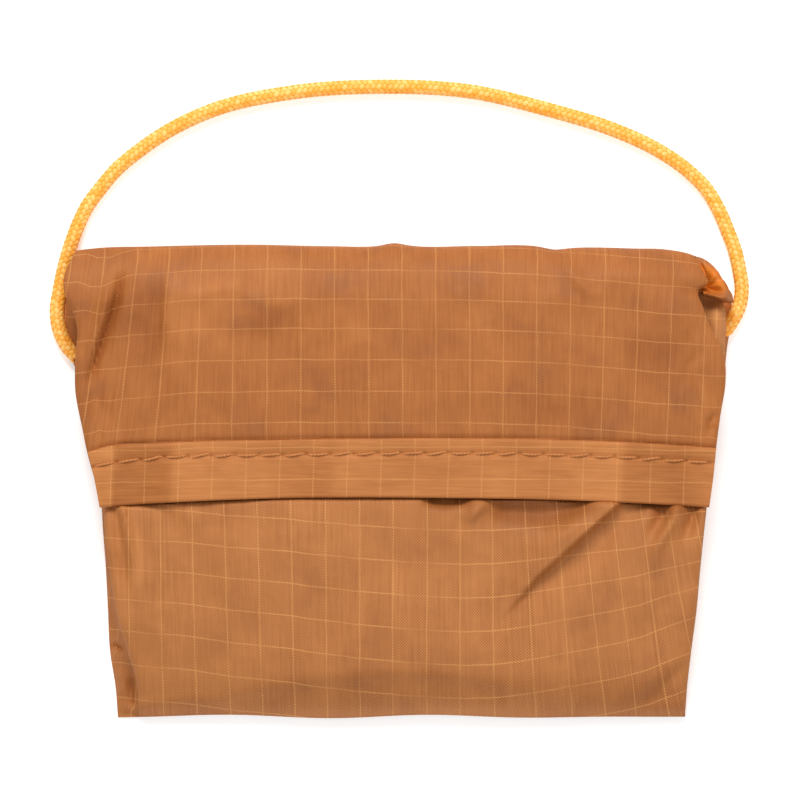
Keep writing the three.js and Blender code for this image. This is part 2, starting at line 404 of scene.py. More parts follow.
clothLook = {
    "dark": srgb(144, 79, 36), "light": srgb(190, 119, 64), "lineColour": srgb(240, 175, 106),
    "glowColour": srgb(222, 122, 36), "hazeColour": srgb(140, 92, 64), "haze": 0.3, "mottle": 0.8,
    "streak": 0.7, "yarn": 0.5, "shimmer": 0.0, "line": 0.5, "bump": 0.35, "roughness": 0.46,
    "specular": 0.16,
}
flapCloth = clothMaterial("ripstopFlap", clothLook)
bodyCloth = clothMaterial("ripstopBody", {
    **clothLook, "dark": srgb(149, 86, 41), "light": srgb(201, 132, 77), "shimmer": 0.5,
    "streak": 0.45, "haze": 0.15, "yarn": 0.8, "line": 0.62})
# the hem's lighter colours are painted sheen of its crosswise grain, on the same ripstop
hemCloth = clothMaterial("ripstopHem", {
    **clothLook, "dark": srgb(154, 88, 40), "light": srgb(208, 136, 78), "haze": 0.0, "mottle": 0.5,
    "weave": {"StreakTurn": 1.0}})
insideCloth = clothMaterial("ripstopInside", {
    **clothLook, "dark": srgb(136, 68, 28), "light": srgb(176, 98, 50), "line": 0.35})


def threadMaterial():
    material, tree = newMaterial("hemThread")
    add, _ = nodesOf(tree)
    place = add("ShaderNodeTexCoord").outputs["Object"]
    fuzz = add("ShaderNodeTexNoise", {"Vector": place, "Scale": 2600.0, "Detail": 3.0})
    colour = mixColours(add, fuzz.outputs[0], srgb(164, 96, 48), srgb(226, 154, 94))
    bump = add("ShaderNodeBump", {"Height": fuzz.outputs[0], "Strength": 0.4, "Distance": 0.00006})
    shader = add("ShaderNodeBsdfPrincipled", {
        "Base Color": colour, "Roughness": 0.62, "Normal": bump.outputs[0], "Specular IOR Level": 0.25})
    tree.links.new(shader.outputs[0], add("ShaderNodeOutputMaterial").inputs[0])
    return material


def cordMaterial():
    material, tree = newMaterial("braidedCord")
    add, calc = nodesOf(tree)
    uv = add("ShaderNodeUVMap", uv_map="yarn")
    fibre = add("ShaderNodeTexNoise", {"Vector": uv.outputs[0], "Scale": 9.0, "Detail": 2.0})
    tone = calc("MULTIPLY", attribute(add, "tone"), 0.8)
    mixed = calc("ADD", tone, calc("MULTIPLY", fibre.outputs[0], 0.3), clamp=True)
    ramp = add("ShaderNodeValToRGB", {0: mixed})
    stops = ramp.color_ramp.elements
    stops[0].color = srgb(250, 136, 10)
    stops[0].position = 0.1
    stops[1].color = srgb(255, 216, 128)
    stops[1].position = 0.95
    middle = stops.new(0.6)
    middle.color = srgb(253, 170, 45)
    bump = add("ShaderNodeBump", {"Height": fibre.outputs[0], "Strength": 0.5, "Distance": 0.00005})
    shader = add("ShaderNodeBsdfPrincipled", {            # painted glow: a little emission standing in for light through the dyed nylon
        "Base Color": ramp.outputs[0], "Roughness": 0.5, "Normal": bump.outputs[0],
        "Emission Color": (1.0, 0.34, 0.02, 1.0), "Emission Strength": 0.07})
    tree.links.new(shader.outputs[0], add("ShaderNodeOutputMaterial").inputs[0])
    return material


hemThread = threadMaterial()
cordYarn = cordMaterial()
print("materials made")


# ---- cord: a hollow braid of leaf-shaped picks in mirrored columns round a core
cord = {
    "route": [(-65.1, 25.1), (-66.6, 26.7), (-68.3, 29.9), (-69.0, 34.4), (-68.4, 38.4),
              (-67.6, 42.4), (-66.5, 46.4), (-65.1, 50.4), (-63.3, 54.4), (-60.5, 58.4),
              (-57.1, 62.4), (-52.3, 66.4), (-46.3, 70.4), (-37.6, 74.4), (-22.4, 77.8),
              (-4.4, 79.0), (14.0, 78.0), (29.3, 74.4), (42.3, 70.4), (51.0, 66.4), (56.9, 62.4),
              (60.9, 58.4), (63.3, 54.4), (65.0, 50.4), (66.5, 46.4), (67.4, 42.4), (67.9, 38.6),
              (67.4, 35.2), (66.2, 32.6), (64.9, 30.6), (64.2, 29.8)],
    "radius": 1.5, "columns": 8, "pick": 1.14, "pickLength": 1.75, "pickWidth": 1.16,
    "pickRise": 0.26, "slant": 33, "seed": 5, "coreGap": 0.03, "coreSides": 12,
    "pickRings": 5, "pickSides": 6, "pickTaper": 0.86, "pickSag": 0.12, "capSink": 0.14,
}


def smoothPath(points, step):                # evenly spaced points on a smooth curve, and its length
    points = np.array(points, float)
    axes = range(points.shape[1])
    chord = np.concatenate([[0], np.cumsum(np.linalg.norm(np.diff(points, axis=0), axis=1))])
    fine = np.linspace(0, chord[-1], 40 * len(points))
    rough = np.stack([curve(list(zip(chord, points[:, k])), fine) for k in axes], axis=1)
    run = np.concatenate([[0], np.cumsum(np.linalg.norm(np.diff(rough, axis=0), axis=1))])
    count = max(3, int(round(run[-1] / step)) + 1)
    even = np.linspace(0, run[-1], count)
    return np.stack([np.interp(even, run, rough[:, k]) for k in axes], axis=1), run[-1]


def framesOn(path):                          # forward, sideways and up at each point of a path
    forward = np.gradient(path, axis=0)
    forward /= np.linalg.norm(forward, axis=1, keepdims=True)
    up = np.tile([0.0, 0.0, 1.0], (len(path), 1))
    side = np.cross(forward, up)
    side /= np.linalg.norm(side, axis=1, keepdims=True)
    return forward, side, np.cross(side, forward)


def meshFrom(name, points, faces, material):
    data = bpy.data.meshes.new(name)
    data.from_pydata([tuple(p) for p in points * mm], [], faces)
    piece = bpy.data.objects.new(name, data)
    bpy.context.collection.objects.link(piece)
    data.materials.append(material)
    smoothShade(piece, 60)
    return piece


def tubeParts(path, radius, sides):          # a closed round tube along a path
    forward, side, up = framesOn(path)
    angles = np.arange(sides) * 2 * math.pi / sides
    cosine, sine = np.cos(angles)[None, :, None], np.sin(angles)[None, :, None]
    ring = cosine * side[:, None, :] + sine * up[:, None, :]
    radius = np.broadcast_to(np.asarray(radius, float), (len(path),))
    points = (path[:, None, :] + ring * radius[:, None, None]).reshape(-1, 3)
    faces = []
    for k in range(len(path) - 1):
        for i in range(sides):
            a, b = k * sides + i, k * sides + (i + 1) % sides
            faces.append((a, a + sides, b + sides, b))
    faces.append(tuple(range(sides)))
    faces.append(tuple(reversed(range((len(path) - 1) * sides, len(path) * sides))))
    return points, faces


def makeBraid(name, route, spec):
    path, length = smoothPath(route, spec["pick"])
    forward, side, up = framesOn(path)
    rng = np.random.default_rng(spec["seed"])
    pickRadius = spec["radius"] - spec["pickRise"]
    core, faces = tubeParts(path, pickRadius - spec["coreGap"], spec["coreSides"])
    points, tones = [core], [np.full(len(core), 0.0)]
    uvs = [np.zeros((len(core), 2))]
    rows, around = spec["pickRings"], spec["pickSides"]
    t = np.linspace(-1, 1, rows + 2)[1:-1]
    swell = np.sqrt(1 - t ** 2 * spec["pickTaper"])
    a = np.arange(around) * 2 * math.pi / around
    base = len(core)
    slant = math.radians(spec["slant"])
    for column in range(spec["columns"]):
        angle0 = 2 * math.pi * column / spec["columns"]
        turn = slant if column % 2 else -slant
        shift = 0.5 if column % 2 else 0.0
        for k in range(len(path) - 1):
            where = k + shift
            if where > len(path) - 1.2:
                continue
            lo, part = int(where), where - int(where)
            mid = path[lo] * (1 - part) + path[lo + 1] * part
            f, s, w = forward[lo], side[lo], up[lo]
            jitter = rng.normal(0, 0.04)
            out = math.cos(angle0 + jitter) * s + math.sin(angle0 + jitter) * w
            tangent = np.cross(f, out)
            lengthwise = math.cos(turn) * f + math.sin(turn) * tangent
            crosswise = np.cross(out, lengthwise)
            centre = mid + out * pickRadius
            size = 1 + rng.normal(0, 0.05)
            halfPick = lengthwise * spec["pickLength"] / 2 * size
            ts = t[:, None, None] * lengthwise * spec["pickLength"] / 2 * size
            cs = (swell[:, None] * np.cos(a))[:, :, None] * crosswise * spec["pickWidth"] / 2
            hs = (swell[:, None] * np.sin(a))[:, :, None] * out * spec["pickRise"]
            sag = -(t ** 2)[:, None, None] * out * spec["pickSag"]
            ring = (centre + ts + cs + hs + sag).reshape(-1, 3)
            sink = out * spec["capSink"]
            caps = np.array([centre - halfPick - sink, centre + halfPick - sink])
            points += [ring, caps]
            # each pick has a random tone, raised on its outward crown as painted highlight; the sunken
            # ends and the core get low tones, painted shade in the gaps
            tone = rng.uniform(0.35, 0.75)
            lift = np.clip(np.sin(a), 0, 1)[None, :] * swell[:, None] * 0.4
            tones += [(tone * 0.75 + lift).ravel(), np.array([0.1, 0.1])]
            seedShift = rng.uniform(0, 50)
            uvRing = np.stack([np.repeat(t, around) * 0.25 + seedShift, np.tile(a, rows) * 0.5], axis=1)
            uvs += [uvRing, np.array([[seedShift, 0], [seedShift, 0]])]
            for r in range(rows - 1):
                for i in range(around):
                    p, q = base + r * around + i, base + r * around + (i + 1) % around
                    faces.append((p, p + around, q + around, q))
            head, tail = base + rows * around, base + rows * around + 1
            last = base + (rows - 1) * around
            for i in range(around):
                faces.append((head, base + i, base + (i + 1) % around))
                faces.append((tail, last + (i + 1) % around, last + i))
            base += rows * around + 2
    piece = meshFrom(name, np.concatenate(points), faces, cordYarn)
    tone = piece.data.attributes.new("tone", "FLOAT", "POINT")
    tone.data.foreach_set("value", np.concatenate(tones).astype(np.float32))
    layer = piece.data.uv_layers.new(name="yarn")
    layer.data.foreach_set("uv", perCorner(piece, np.concatenate(uvs)))
    return piece, path, length


carryRoute = [(x, y, cord["radius"]) for x, y in cord["route"]]
carryCord, cordPath, cordLength = makeBraid("carryCord", carryRoute, cord)
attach(carryCord, "cord")
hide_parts("carry_cord")
[tuple(p) for p in cordPath[::3] * mm]
print("cord made", round(cordLength, 1), "mm")


# ---- outline of the pouch, as points in mm: [y, x of the edge], and for the two lines
# of the hem [x, y of the line]
outline = {
    "backLeft": [(-47, -56.8), (-41.6, -57.2), (-33.6, -58.4), (-25.6, -58.8), (-17.6, -59.2),
                 (-9.6, -59.8), (-4, -60.2), (4, -62.2), (12, -63.6), (19, -64.8), (23, -65.4),
                 (25.6, -66.8), (29, -68.0), (34, -68.2), (38, -67.6), (42, -66.8), (45, -65.8),
                 (47.5, -64.6)],
    "backRight": [(-47, 56.6), (-41.6, 56.8), (-33.6, 57.4), (-25.6, 58.3), (-17.6, 59.0),
                  (-9.6, 59.8), (-4, 60.6), (4, 62.2), (12, 63.4), (20, 64.4), (26, 64.9),
                  (31, 65.6), (36, 65.9), (39, 65.2), (42, 63.4), (45, 60.6), (47.5, 58.8)],
    "frontLeft": [(-47, -53.0), (-43, -52.8), (-38, -53.5), (-33, -55.0), (-27.6, -56.6),
                  (-20, -58.0), (-12, -59.0), (-4, -59.3), (8, -60.6), (20, -61.5), (32, -61.5),
                  (40, -60.5)],
    "frontRight": [(-47, 56.6), (-41.6, 56.9), (-33.6, 57.7), (-25.6, 58.7), (-17.6, 59.4),
                   (-9.6, 60.2), (-4, 60.8), (8, 62.2), (20, 63.8), (28, 64.5), (34, 64.6),
                   (40, 62.8)],
    "flapLeft": [(-5, -59.9), (0, -60.9), (6, -62.5), (11, -63.5), (18, -64.8), (24, -64.9),
                 (32, -64.7), (34.5, -65.6), (37, -66.8), (40, -67.2), (43, -66.6), (45, -65.8),
                 (47.5, -64.6)],
    "hemTop": [(-62.8, 5.8), (-59, 7.0), (-50, 7.7), (-43, 8.0), (-24, 8.4), (31, 8.4), (50, 7.6),
               (62.8, 6.7)],
    "mouth": [(-60.4, -4.9), (-54.4, -4.4), (-40.4, -3.6), (-24.4, -3.05), (9.6, -3.0), (32, -3.4),
              (48, -4.1), (61.4, -4.9)],
    "flapRight": [(-5, 61.0), (2, 61.9), (8, 62.5), (14, 63.3), (20, 64.2), (24.4, 64.0),
                  (28.4, 62.4), (31.4, 60.9), (35.4, 59.5), (37.2, 58.8), (38.4, 59.0),
                  (39.5, 60.5), (41.6, 60.3), (44.4, 59.2), (47.5, 57.6)],
}

# the front panel: its height down its middle and at its sides [y, z], and all that lies on it
bodyShape = {
    "middle": [(-47, 0.6), (-46, 3.2), (-43.6, 7.0), (-40, 10.0), (-35, 11.7), (-27, 12.6),
               (-16, 13.2), (-8.5, 13.35), (-5, 13.3), (-3.9, 13.1), (-3.4, 12.7), (-3.05, 11.6),
               (-2.6, 10.0), (-1.6, 9.5), (0, 9.3), (12, 8.8), (24, 8.3), (31, 7.6), (36, 6.4),
               (39.6, 4.6)],
    "side": [(-47, 0.6), (-45.6, 3.4), (-42, 6.0), (-36, 8.2), (-28, 9.9), (-18, 11.1), (-9, 11.9),
             (-5, 12.0), (-3.9, 11.8), (-3.4, 11.4), (-3.05, 10.6), (-2.6, 9.4), (-1.6, 9.1),
             (0, 8.9), (14, 8.3), (26, 7.9), (32, 7.4), (36, 6.5), (39.6, 4.6)],
    "mouthAt": -3.05, "crossPower": 2.4, "lowest": 0.5, "roundEdge": 1.6, "gussetLow": 0.35,
    "gussetShare": 0.055, "pleat": 1.3, "baseWave": 0.22,
    "relief": [(waves, 0.26, 11, 34), (crinkle, 0.10, 12, 15), (crinkle, 0.045, 13, 6.5)],
    "folds": [
        crease([(45.6, -1), (43.2, -4.4), (35.4, -11.4), (27.2, -18.8), (18.6, -28.6)], 0.6,
               rise=0.2, step=3.0, reach=6.0, taper=0.34, opens=True),
        crease([(40.0, -2), (33.5, -9.0), (26.5, -15.5)], 2.0, rise=0.9, taper=0.5, opens=True),
        crease([(48.5, -3.4), (42, -9.5), (36, -16), (31, -22)], 1.9, rise=-0.7, taper=0.5,
               opens=True),
        crease([(55.2, -3), (54.2, -6), (50.8, -12.6), (48.4, -20)], 1.3, rise=1.5, taper=0.6,
               opens=True),
        crease([(51.2, -2.6), (52.0, -6.6), (48.6, -12)], 1.5, rise=-2.3, taper=0.5, opens=True),
        crease([(57.8, -3.4), (57.6, -7.2), (55.4, -14)], 1.3, rise=-2.0, taper=0.5, opens=True),
        crease([(14.6, -3.2), (20, -5.0), (28, -5.8), (36, -4.8), (41, -3.6)], 3.0, rise=-2.6,
               taper=0.3),
        crease([(3.5, -3.2), (8.5, -3.8), (14.5, -3.4)], 1.3, rise=-1.8, taper=0.3),
        crease([(62.0, 25), (62.6, 31), (62.8, 37)], 2.0, rise=2.0, taper=0.25),
        crease([(11.6, -9.4), (14.6, -5.8), (17.5, -3.4)], 1.1, rise=0.9),
        crease([(10.2, -12), (12.0, -8), (13.2, -5)], 1.5, rise=-0.7, taper=0.5),
        crease([(58, -34), (51, -40), (45.6, -46)], 1.4, rise=-0.4, step=1.9, reach=5, taper=0.35),
        crease([(-56.4, -3), (-54.8, -8), (-53.5, -15), (-53.2, -24)], 0.9, rise=1.0, opens=True),
        crease([(-50.4, -3), (-46.6, -6.4), (-44, -11)], 2.0, rise=-0.8, taper=0.5, opens=True),
        crease([(-57.6, -3), (-56.6, -9), (-55.6, -17), (-55.0, -26)], 1.2, rise=-0.9, opens=True),
        crease([(-44, -46), (-30, -42.6), (-18, -40.2), (2, -38.6), (14, -39.8), (26, -43),
               (32, -45.6)], 2.2, step=-1.3, reach=6, taper=0.3),
        crease([(6, -46.4), (16, -44.2), (28, -45.6)], 1.5, rise=0.6),
        crease([(-56, -45), (-42, -43.2), (-30, -45)], 1.6, rise=0.4),
        crease([(-30, -3), (-34, -12), (-32, -26)], 5.0, rise=0.4, taper=0.5),
        crease([(2, -5), (6, -16), (4, -30)], 7.0, rise=-0.35, taper=0.5),
        crease([(44, -21), (40, -29), (38, -38)], 3.4, rise=0.45, taper=0.5),
        crease([(31, -24), (28, -32), (30, -40)], 2.8, rise=-0.4, taper=0.5),
        crease([(52, -20), (50, -28), (51, -36)], 2.4, rise=-0.45, taper=0.5),
    ],
    # tones: painted light and shade, lighter under the right puff, along a left ridge and the base,
    # painted shade in the dents under the hem
    "tones": [
        crease([(62.6, 22), (63.2, 40)], 2.4, rise=0.35, power=4, taper=0.1),
        crease([(59.6, 37.4), (64.2, 34.2)], 2.6, rise=0.8, power=4, taper=0.1),
        crease([(16, -4.0), (22, -5.6), (30, -6.0), (41, -4.0)], 2.8, rise=-0.55, taper=0.22),
        crease([(2, -3), (8, -4.2), (16, -3)], 1.8, rise=-0.5, taper=0.3),
        crease([(46, -4), (52, -5), (60, -4)], 1.8, rise=-0.4, taper=0.2),
        crease([(-53.6, -6), (-52.2, -14), (-53.2, -24)], 1.1, rise=0.25, taper=0.3),
        crease([(-30, -46.6), (0, -46.6), (34, -46.6)], 2.6, rise=0.2, taper=0.3),
    ],
    "gussetFolds": [
        crease([(-59.4, -33.8), (-57.2, -32.6), (-55.2, -34)], 0.6, rise=-1.8, taper=0.3),
        crease([(-57.0, -36.4), (-56.2, -40), (-56, -44)], 1.5, rise=1.3),
        crease([(-54.6, -38), (-54.0, -42), (-53.8, -46)], 0.7, rise=-1.1, taper=0.3),
        crease([(-58.8, -22), (-57.6, -28), (-57.2, -32)], 0.7, rise=-0.9),
    ],
}

flapShape = {
    "top": 13.95, "crown": 0.55, "hemGroove": 0.4, "fall": 1.1, "fallFrom": 35.6, "mouthDrop": 1.5,
    "sideFall": 1.0, "sideFrom": 45, "rim": 1.1, "rimDrop": 0.6,
    "relief": [(waves, 0.2, 21, 24), (crinkle, 0.11, 22, 12), (crinkle, 0.04, 23, 6)],
    "folds": [
        crease([(-55.4, 43.5), (-56.2, 38.5), (-58.2, 31.6), (-60.6, 25.4), (-62.8, 18)], 0.95,
               rise=-1.8, power=1.6, taper=0.2),
        crease([(-57.8, 42), (-58.9, 34.5), (-61.2, 27.5), (-62.6, 20)], 1.0, rise=1.0, taper=0.3),
        crease([(-54.2, 40), (-54.6, 34.5), (-57.2, 27)], 1.5, rise=0.3),
        crease([(-46.8, 43), (-47.2, 37), (-47.6, 31), (-49, 25)], 1.0, step=-0.9, reach=7),
        crease([(-47, 38.4), (-40, 37.6), (-33, 38.8), (-26, 35.6)], 1.4, rise=0.35),
        crease([(-52, 30), (-42, 27), (-28, 26)], 3.0, rise=0.3),
        crease([(-63.4, 27), (-63.2, 18), (-62.6, 9)], 0.9, rise=0.5, taper=0.3),
        crease([(-57, 10), (-60, 15), (-61.5, 20)], 1.4, rise=-0.4),
        crease([(-33, 37), (-24, 33), (-20, 27)], 2.2, rise=-0.4, taper=0.5),
        crease([(-14, 36), (-10, 31), (-8, 25)], 2.4, rise=0.35, taper=0.5),
        crease([(-1.6, 47), (-1.2, 43.5), (1.5, 38)], 1.1, rise=0.6, taper=0.6, opens=True),
        crease([(14, 44), (17, 38), (22, 35)], 1.8, rise=0.35),
        crease([(31.0, 47), (32.6, 43), (37, 37.8), (43, 35.6)], 1.2, rise=0.8, taper=0.6,
               opens=True),
        crease([(27.4, 46), (28.6, 42), (30, 37)], 1.3, rise=-0.7, taper=0.6, opens=True),
        crease([(38, 42), (47, 41.4), (56, 40.8)], 1.6, rise=0.4),
        crease([(20, 17), (31, 15), (43, 14.5)], 3.2, rise=-0.45),
        crease([(-25, 34), (0, 31.5), (26, 33.5)], 5.0, rise=0.25),
        crease([(61.0, 38.0), (58, 38.2), (52, 40)], 0.9, rise=-1.0, taper=0.8, opens=True),
        crease([(59.8, 42), (57.8, 41), (54, 41.6)], 1.2, rise=0.5, taper=0.5),
        crease([(50, 40), (54, 33), (57, 24), (57.5, 14)], 2.2, rise=0.45),
        crease([(60.6, 28), (57, 23), (56, 17)], 1.2, rise=-0.5),
        crease([(59.0, 22), (60.6, 15), (60.6, 9)], 1.2, rise=0.6),
        crease([(62.8, 14.5), (61.2, 12), (61.4, 9)], 0.8, rise=-0.9),
        crease([(-40, 12), (-20, 9.8), (-2, 10.4)], 2.4, rise=0.22),
        crease([(-64, 31), (-56, 31), (-46, 33)], 5.5, step=-1.1, reach=13, taper=0.3),
        crease([(-34, 31.5), (-27, 31), (-17, 31)], 3.0, step=-0.8, reach=8),
        crease([(41, 29), (50, 28), (60, 26)], 4.0, step=-0.8, reach=9),
    ],
    # tones: painted light and shade, the flap's left side and left crease painted darker, other patches
    # lighter or darker where the cloth turns
    "tones": [
        crease([(-47.4, 45), (-47.0, 38), (-46.8, 30), (-48, 20)], 0.9, step=-0.5, reach=14,
               taper=0.35),
        crease([(-60, 37), (-47, 38.4)], 1.6, step=-0.2, reach=6, taper=0.3),
        crease([(-33, 37.4), (-27, 35), (-19, 35.6)], 1.2, step=-0.3, reach=9),
        crease([(-30, 31), (-24, 30)], 6, rise=-0.14, taper=0.2),
        crease([(-10, 33), (-8.5, 27)], 2.6, rise=0.2, taper=0.3),
        crease([(13, 34.5), (20, 33)], 3.6, rise=0.24),
        crease([(44, 27), (56, 26)], 6, rise=-0.2, taper=0.2),
        crease([(21, 14.5), (42, 13.5)], 3.6, rise=-0.2, taper=0.3),
        crease([(59, 20), (63, 10)], 2.6, rise=0.25),
        crease([(-56, 41.5), (-57, 36), (-60, 28), (-62, 21)], 1.2, rise=-0.1, taper=0.3),
    ],
}


def edgesAt(y):                              # where each side edge is at that height up the pouch
    sides = ("backLeft", "backRight", "frontLeft", "frontRight", "flapLeft", "flapRight")
    return {label: curve(outline[label], y) for label in sides}


def baseWave(x, y):                          # how the sewn base wanders
    return bodyShape["baseWave"] * waves(x, 0 * x, 81, 34, count=8) * smooth((baseY + 9 - y) / 9)


def bodyHeight(x, y, left, right):           # outer face of the front panel
    shifted = y - (curve(outline["mouth"], x) - bodyShape["mouthAt"]) * smooth((y + 16) / 9)
    middle, sideways = curve(bodyShape["middle"], shifted), curve(bodyShape["side"], shifted)
    share = np.abs((2 * x - left - right) / (right - left))
    z = sideways + (middle - sideways) * (1 - share ** bodyShape["crossPower"])
    z += folds(x, y, bodyShape["folds"]) * smooth((y - baseY) / 5)
    z += smooth((y - baseY) / 12) * relief(x, y, bodyShape["relief"])
    edge = np.clip(np.minimum(x - left, right - x) / bodyShape["roundEdge"], 0, 1)
    z -= bodyShape["roundEdge"] * (1 - np.sqrt(1 - (1 - edge) ** 2))
    return np.maximum(z, bodyShape["lowest"])


def flapHeight(x, y):                        # outer face of the flap
    z = flapShape["top"] + flapShape["crown"] * (1 - (x / 62) ** 2) * smooth((foldY + 6 - y) / 26)
    z = z - flapShape["mouthDrop"] * smooth((26 - y) / 30)
    edge = flapShape["fallFrom"] + 1.6 * waves(x, 0 * y, 24, 26)
    sideways = smooth((np.abs(x) - flapShape["sideFrom"]) / 17)
    z = z - flapShape["fall"] * smooth((y - edge) / 8) - flapShape["sideFall"] * sideways
    fade = smooth((foldY + 5 - y) / 9)
    z = z + folds(x, y, flapShape["folds"]) * (0.35 + 0.65 * fade)
    z = z + fade * relief(x, y, flapShape["relief"])
    above = y - curve(outline["hemTop"], x)  # the hem presses a groove along its upper edge
    z = z - flapShape["hemGroove"] * np.exp(-((above - 0.25) / 0.5) ** 2)
    inset = np.minimum(x - curve(outline["flapLeft"], y), curve(outline["flapRight"], y) - x)
    near = 1 - np.clip(inset / flapShape["rim"], 0, 1)
    return z - flapShape["rimDrop"] * (1 - np.sqrt(1 - near ** 2))


# ---- outer cloth: back panel, fold and flap in one length
outer = {
    "columns": 264, "rows": 210, "thickness": 0.16, "radius": foldZ - 0.05, "mouth": -1.8,
    "backShare": 0.26, "bendShare": 0.2, "rowMiddle": 24.4, "rowScale": 1.07, "leanMiddle": 35,
    "crest": [(-68, -1.6), (-65, -0.95), (-61, -0.45), (-50, -0.1), (-30, 0.25), (-14, -0.05),
              (-5, 0.0), (-1.4, 0.55), (1.5, 0.1), (15, 0), (27, -0.1), (30.4, -0.7), (34, -0.4),
              (46, -0.5), (53, -0.75), (57, -1.5), (59.5, -2.4), (66, -3.2)],
    "rowBow": [(-66, -2.9), (-60, -2.1), (-50, -1.0), (-42, -0.4), (-34, -0.1), (-20, 0), (0, 0),
               (15, -0.1), (26.6, -0.5), (40, -1.5), (53, -2.6), (60, -3.1), (66, -3.4)],
    "lean": [(-66, 0.13), (-60, 0.12), (-52, 0.1), (-46, 0.06), (-35, 0.015), (-20, 0), (20, 0),
             (33, 0.012), (47, 0.035), (66, 0.03)],
}


def flapPart(z):                             # 0 on the back panel, 1 on the flap
    return smooth((z - 2) / 9)


def placeOuter(u, v):
    radius = outer["radius"]
    s = v[:, 0]
    bendStart, bendEnd = outer["backShare"], outer["backShare"] + outer["bendShare"]
    angle = np.interp(s, [bendStart, bendEnd], [-math.pi / 2, math.pi / 2])
    y = foldY + radius * np.cos(angle)
    z = foldZ + radius * np.sin(angle)
    onBack, onFlap = s < bendStart, s > bendEnd
    y[onBack] = np.interp(s[onBack], [0, bendStart], [baseY + 0.1, foldY])
    y[onFlap] = np.interp(s[onFlap], [bendEnd, 1], [foldY, outer["mouth"]])
    turn = flapPart(z)[:, None]
    edge = edgesAt(y[:, None])
    left = (1 - turn) * edge["backLeft"] + turn * edge["flapLeft"]
    right = (1 - turn) * edge["backRight"] + turn * edge["flapRight"]
    x = left + (right - left) * u
    yy = y[:, None] + np.cos(angle)[:, None] * curve(outer["crest"], x)
    zz = z[:, None] + smooth((z[:, None] - foldZ) / radius) * (flapHeight(x, yy) - flapShape["top"])
    zz = np.where(onBack[:, None], zz + 0.03, zz)
    yy = yy + np.where(onBack[:, None], baseWave(x, yy), 0)
    return np.stack([x, yy, zz], axis=2)


def clothOfOuter(points):
    x, y, z = points[:, :, 0], points[:, :, 1], points[:, :, 2]
    run = -alongColumns(points)
    start = np.argmin(np.abs(y - outer["rowMiddle"]) + 100 * (z < foldZ), axis=0)
    run = (run - run[start, np.arange(x.shape[1])]) * outer["rowScale"]
    across = x - curve(outer["lean"], x) * (y - outer["leanMiddle"]) * flapPart(z)
    return np.stack([across, run - curve(outer["rowBow"], x) * outer["rowScale"]], axis=2)


outerCloth = clothSheet("outerCloth", outer, flapCloth, placeOuter, clothOfOuter, flapShape["tones"])
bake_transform(outerCloth)
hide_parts("back_panel", "outer_fold", "flap_outer")
print("outer cloth made")


# ---- front cloth: left gusset, front panel and right gusset in one width
front = {"columns": 270, "rows": 220, "thickness": 0.16, "baseGap": 0.15, "foldGap": 0.4}


def placeFront(u, v):
    gussetShare = bodyShape["gussetShare"]
    y = baseY + front["baseGap"] + (foldY - front["foldGap"] - baseY - front["baseGap"]) * v
    edge = edgesAt(y)
    t = np.clip((u - gussetShare) / (1 - 2 * gussetShare), 0, 1)
    x = edge["frontLeft"] + (edge["frontRight"] - edge["frontLeft"]) * t
    z = bodyHeight(x, y, edge["frontLeft"], edge["frontRight"])
    low = bodyShape["gussetLow"]
    for side, backEdge, frontEdge, down in (
        (-1, edge["backLeft"], edge["frontLeft"], 1 - u / gussetShare),
        (1, edge["backRight"], edge["frontRight"], 1 - (1 - u) / gussetShare),
    ):
        down = np.clip(down, 0, 1)           # 0 at the front panel, 1 at the back one
        top = bodyHeight(frontEdge, y, edge["frontLeft"], edge["frontRight"])
        drop = np.clip(top - low, 0, None)
        pleat = bodyShape["pleat"] * np.clip(drop / 6, 0, 1) * np.sin(math.pi * down) ** 1.2
        wall = frontEdge + (backEdge - frontEdge) * smooth(down) - side * pleat
        onWall = down > 0
        x = np.where(onWall, wall, x)
        crumple = folds(x, y, bodyShape["gussetFolds"]) * np.sin(math.pi * down)
        crumple = crumple * smooth((y - baseY) / 3)
        z = np.where(onWall, np.maximum(top - drop * down + crumple, low), z)
    return np.stack([x, y + baseWave(x, y), z], axis=2)


bodyGrid = {
    "rowBow": [(-60, 6.4), (-48, 5.6), (-35, 4.2), (-22, 2.8), (-10, 1.4), (0, 0.6), (15.6, 0.0),
               (30.8, 1.8), (37.4, 3.0), (44, 4.2), (53.6, 7.2), (60, 9.4)],
    "leftShare": [(-47, 1.05), (-30, 1.1), (-20, 0.98), (-12, 0.82), (-4, 0.7), (40, 0.3)],
    "rightShare": [(-47, 0.95), (-22, 1.0), (-14, 0.72), (-8, 0.45), (0, 0.3), (40, 0.2)],
    "columns": [(-60, -59.6), (-48, -46.9), (-35.1, -33.5), (-21.9, -20.1), (-8.4, -6.7), (-1.8, 0),
                (5, 6.7), (18, 20.1), (32, 34.0), (37.2, 40.2), (43, 46.9), (48.8, 53.6),
                (54.2, 60.3), (60.2, 67), (66, 73), (80, 87)],
    "lean": [(-60, 0), (-48, 0.012), (-35, 0.028), (-22, 0.018), (-8, 0), (10, 0), (18, 0.012),
             (25, 0.05), (33, 0.075), (38, 0.1), (44, 0.125), (50, 0.12), (58, 0.2), (66, 0.2)],
    "middle": -16.2,
}


